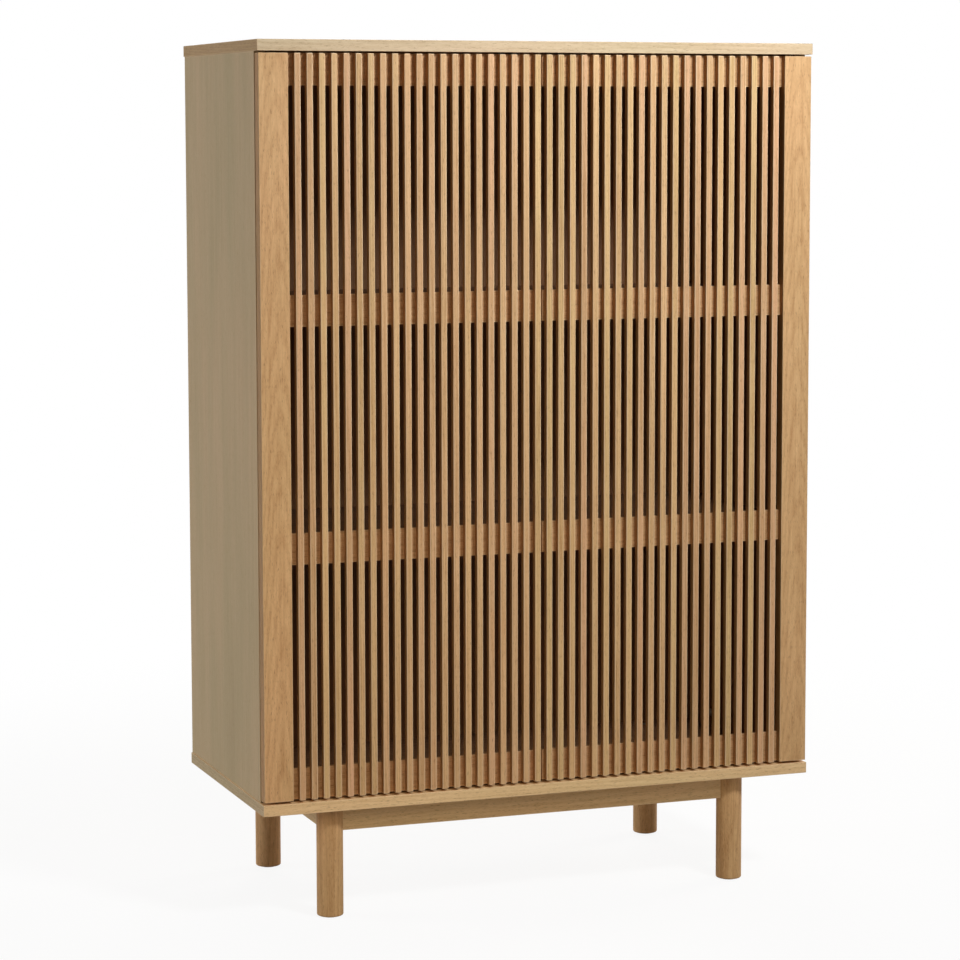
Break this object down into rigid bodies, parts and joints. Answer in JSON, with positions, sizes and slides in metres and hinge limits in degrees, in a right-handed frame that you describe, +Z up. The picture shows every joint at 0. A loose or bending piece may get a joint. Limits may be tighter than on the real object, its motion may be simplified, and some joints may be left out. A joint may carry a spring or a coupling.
{
  "type": "louvred door cabinet",
  "caption": "Tall oak cabinet with two hinged doors of upright slats on rails, shelves inside, and a low base of round legs joined by aprons.",
  "frame": {"origin": "on the floor under the middle of the case", "axes": "+X to the right seen from the front, +Y from the doors to the back, +Z up"},
  "size_m": [0.95, 0.445, 1.4],
  "materials": {
    "oak": "clear matt lacquer on oak",
    "oak_back": "oak veneer on thin board",
    "beech": "fluted beech dowel",
    "nickel_steel": "nickel-plated steel",
    "black_plastic": "moulded plastic",
    "grey_plastic": "moulded plastic"
  },
  "bodies": {
    "case": {"apron_dowels": "beech", "back_panel": "oak_back", "bottom_panel": "oak", "cam_bolts": "nickel_steel", "cam_locks": "nickel_steel", "case_dowels": "beech", "front_apron": "oak", "front_left_glide": "black_plastic", "front_left_leg": "oak", "front_right_glide": "black_plastic", "front_right_leg": "oak", "latch_screws": "nickel_steel", "left_apron": "oak", "left_hinge_arm_screws": "nickel_steel", "left_hinge_arms": "nickel_steel", "left_hinge_plate_screws": "nickel_steel", "left_hinge_plates": "nickel_steel", "left_latch_body": "black_plastic", "left_side_panel": "oak", "leg_bolts": "nickel_steel", "leg_inserts": "nickel_steel", "lower_shelf": "oak", "rear_apron": "oak", "rear_left_glide": "black_plastic", "rear_left_leg": "oak", "rear_right_glide": "black_plastic", "rear_right_leg": "oak", "right_apron": "oak", "right_hinge_arm_screws": "nickel_steel", "right_hinge_arms": "nickel_steel", "right_hinge_plate_screws": "nickel_steel", "right_hinge_plates": "nickel_steel", "right_latch_body": "black_plastic", "right_side_panel": "oak", "shelf_pins": "nickel_steel", "top_panel": "oak", "upper_shelf": "oak"},
    "left_door": {"left_door_bottom_rail": "oak", "left_door_lower_middle_rail": "oak", "left_door_slats": "oak", "left_door_stile": "oak", "left_door_strike": "nickel_steel", "left_door_top_rail": "oak", "left_door_upper_middle_rail": "oak", "left_hinge_cup_screws": "nickel_steel", "left_hinge_cups": "nickel_steel", "left_hinge_pins": "nickel_steel"},
    "right_door": {"right_door_bottom_rail": "oak", "right_door_lower_middle_rail": "oak", "right_door_slats": "oak", "right_door_stile": "oak", "right_door_strike": "nickel_steel", "right_door_top_rail": "oak", "right_door_upper_middle_rail": "oak", "right_hinge_cup_screws": "nickel_steel", "right_hinge_cups": "nickel_steel", "right_hinge_pins": "nickel_steel"},
    "left_plunger": {"left_latch_plunger": "grey_plastic"},
    "right_plunger": {"right_latch_plunger": "grey_plastic"}
  },
  "joints": [
    {"name": "left_door_hinge", "type": "hinge", "parent": "case", "child": "left_door", "pos_m": [-0.46453, -0.2095, 0.79], "axis": [0, 0, -1], "range_deg": [0, 105]},
    {"name": "right_door_hinge", "type": "hinge", "parent": "case", "child": "right_door", "pos_m": [0.46453, -0.2095, 0.79], "axis": [0, 0, 1], "range_deg": [0, 105]},
    {"name": "left_plunger_slide", "type": "slide", "parent": "case", "child": "left_plunger", "axis": [0, -1, 0], "range_m": [0, 0.012]},
    {"name": "right_plunger_slide", "type": "slide", "parent": "case", "child": "right_plunger", "axis": [0, -1, 0], "range_m": [0, 0.012]}
  ],
  "couplings": [
    {"joint": "left_plunger_slide", "follows": "left_door_hinge", "m_per_rad": 0.006548},
    {"joint": "right_plunger_slide", "follows": "right_door_hinge", "m_per_rad": 0.006548}
  ]
}
